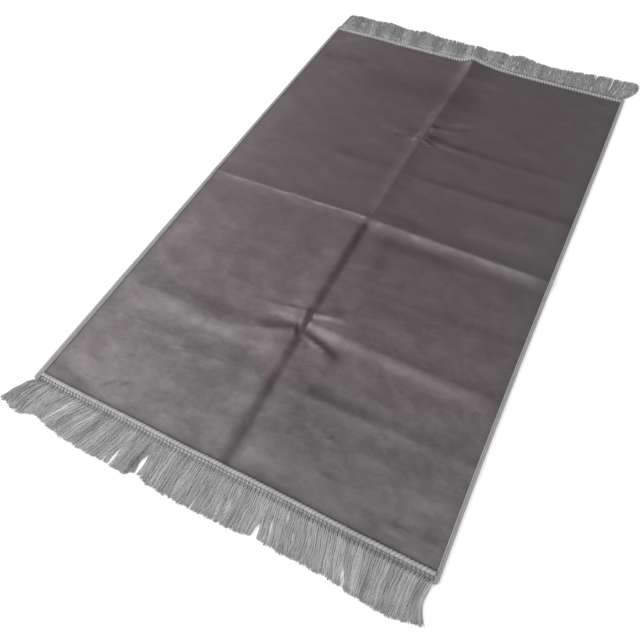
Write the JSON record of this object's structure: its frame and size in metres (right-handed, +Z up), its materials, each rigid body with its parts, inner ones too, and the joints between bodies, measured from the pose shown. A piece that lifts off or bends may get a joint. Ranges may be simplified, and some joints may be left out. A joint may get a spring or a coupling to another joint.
{
  "type": "prayer rug",
  "caption": "Plain velvet prayer rug lying open on a floor, with fold marks, bound long edges, whip-stitched end cords and a brushed yarn fringe at each end.",
  "frame": {"origin": "on the floor plane, under the middle of the rug", "axes": "+X across the rug to the right, +Y along the rug towards the end that is far from the camera in the picture, +Z up"},
  "size_m": [0.7206, 1.2389, 0.0168],
  "materials": {
    "velvet": "short plain velvet pile, mauve grey",
    "binding_yarn": "light grey overcast yarn",
    "cord_yarn": "light grey whip-stitched yarn",
    "fringe_yarn": "light grey brushed fringe yarn"
  },
  "bodies": {
    "root": {"rug_cloth": "velvet", "binding_left": "binding_yarn", "binding_right": "binding_yarn", "cord_near": "cord_yarn", "cord_far": "cord_yarn", "fringe_near": "fringe_yarn", "fringe_far": "fringe_yarn"}
  },
  "joints": []
}
